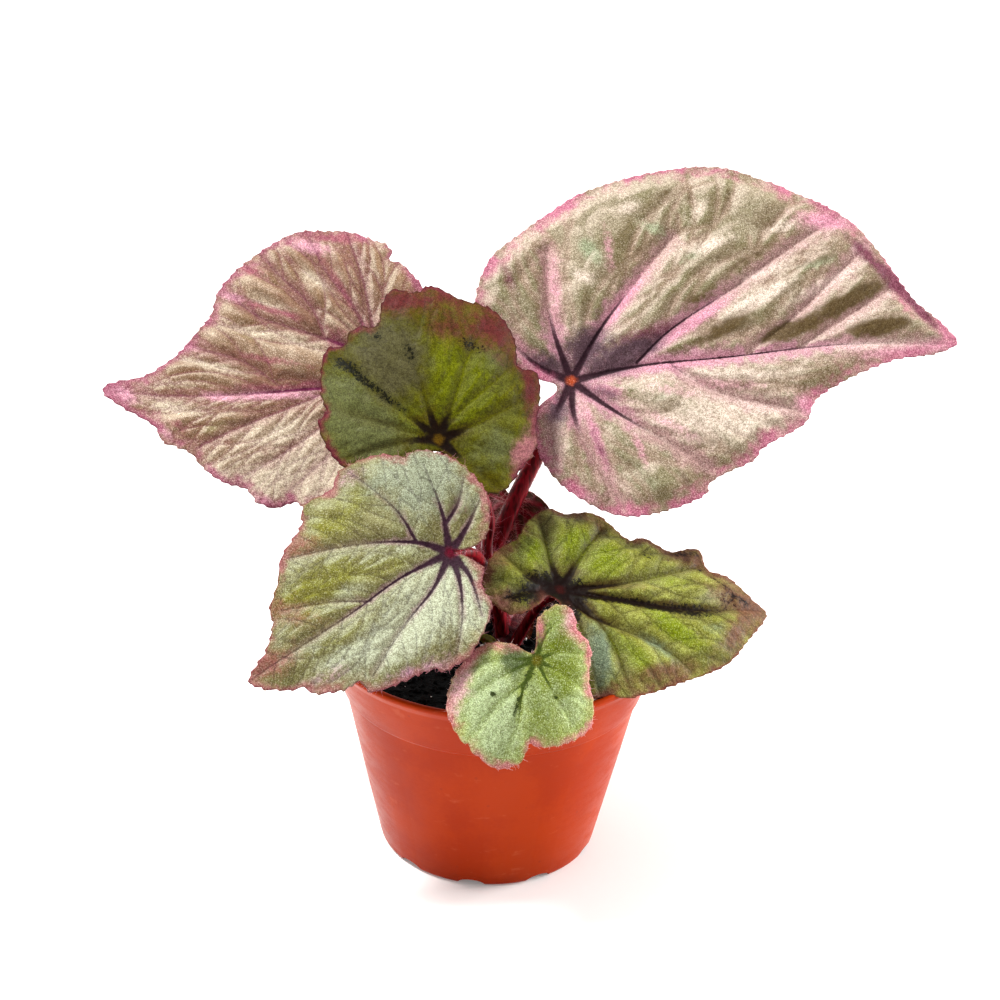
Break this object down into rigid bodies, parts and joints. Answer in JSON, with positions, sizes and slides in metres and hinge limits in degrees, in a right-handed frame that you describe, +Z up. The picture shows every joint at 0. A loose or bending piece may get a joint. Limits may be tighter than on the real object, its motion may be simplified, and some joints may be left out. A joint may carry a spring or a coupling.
{
  "type": "potted begonia",
  "caption": "Rhizomatous begonia with lopsided heart-shaped, silvery pink-edged leaf blades on red hairy petioles, growing in a small flared plastic nursery pot of dark potting mix",
  "frame": {"origin": "middle of the pot's flat underside, on the surface that it stands on", "axes": "+Z up, out of the pot; +X towards the tip of the largest leaf, which is the plant's long side; -Y towards the viewer that the leaves face"},
  "size_m": [0.2459, 0.1215, 0.1893],
  "materials": {
    "pot_plastic": "satin",
    "potting_mix": "matte",
    "rhizome_skin": "matte",
    "petiole_skin": "satin",
    "stipule_paper": "matte",
    "bud_skin": "satin",
    "blade_right_large": "satin",
    "blade_left_large": "satin",
    "blade_upper_middle": "satin",
    "blade_lower_left": "satin",
    "blade_lower_right": "satin",
    "blade_front_small": "satin",
    "blade_back_young": "satin"
  },
  "bodies": {
    "root": {"pot": "pot_plastic", "soil": "potting_mix", "rhizome": "rhizome_skin", "petiole_right_large": "petiole_skin", "leaf_right_large": "blade_right_large", "petiole_left_large": "petiole_skin", "leaf_left_large": "blade_left_large", "petiole_upper_middle": "petiole_skin", "leaf_upper_middle": "blade_upper_middle", "petiole_lower_left": "petiole_skin", "leaf_lower_left": "blade_lower_left", "petiole_lower_right": "petiole_skin", "leaf_lower_right": "blade_lower_right", "petiole_front_small": "petiole_skin", "leaf_front_small": "blade_front_small", "petiole_back_young": "petiole_skin", "leaf_back_young": "blade_back_young", "stipule_front": "stipule_paper", "stipule_back": "stipule_paper", "leaf_bud": "bud_skin"}
  },
  "joints": []
}
